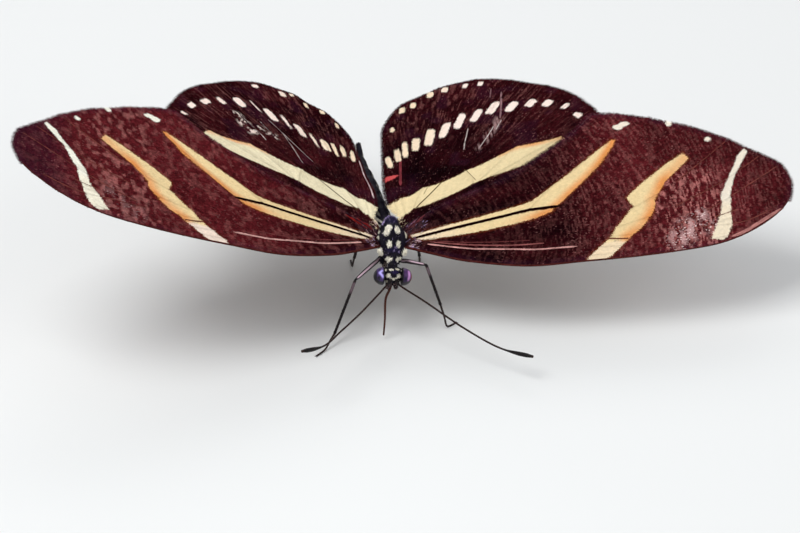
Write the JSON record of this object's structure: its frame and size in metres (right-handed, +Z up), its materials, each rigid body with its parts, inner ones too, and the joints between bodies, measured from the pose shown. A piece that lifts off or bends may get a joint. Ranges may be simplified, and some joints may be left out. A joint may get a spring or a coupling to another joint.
{
  "type": "zebra longwing butterfly",
  "caption": "Long-winged dark butterfly with pale bands, standing on its legs with wings spread, feelers forward and tongue let down.",
  "frame": {"origin": "centre of the overall box in X and Y, at the floor under the feet", "axes": "+X to the insect's left, along the wingspan; -Y the way the insect faces; +Z up"},
  "size_m": [0.083, 0.0464, 0.0272],
  "materials": {
    "fore_wing": "matt scales, dark brown with cream bands",
    "hind_wing": "matt scales, near black with a pale yellow band and spots",
    "body": "short dark hair with cream spots",
    "leg": "satin dark horn with pale scales",
    "eye": "glossy",
    "horn": "satin dark horn"
  },
  "bodies": {
    "root": {"head": "body", "eye_left": "eye", "eye_right": "eye", "palp_left": "body", "palp_right": "body", "antenna_left": "horn", "antenna_right": "horn", "proboscis": "horn", "thorax": "body", "abdomen": "body", "forewing_left": "fore_wing", "forewing_right": "fore_wing", "hindwing_left": "hind_wing", "hindwing_right": "hind_wing", "foreleg_left": "leg", "foreleg_right": "leg", "midleg_left": "leg", "midleg_right": "leg", "hindleg_left": "leg", "hindleg_right": "leg"}
  },
  "joints": []
}
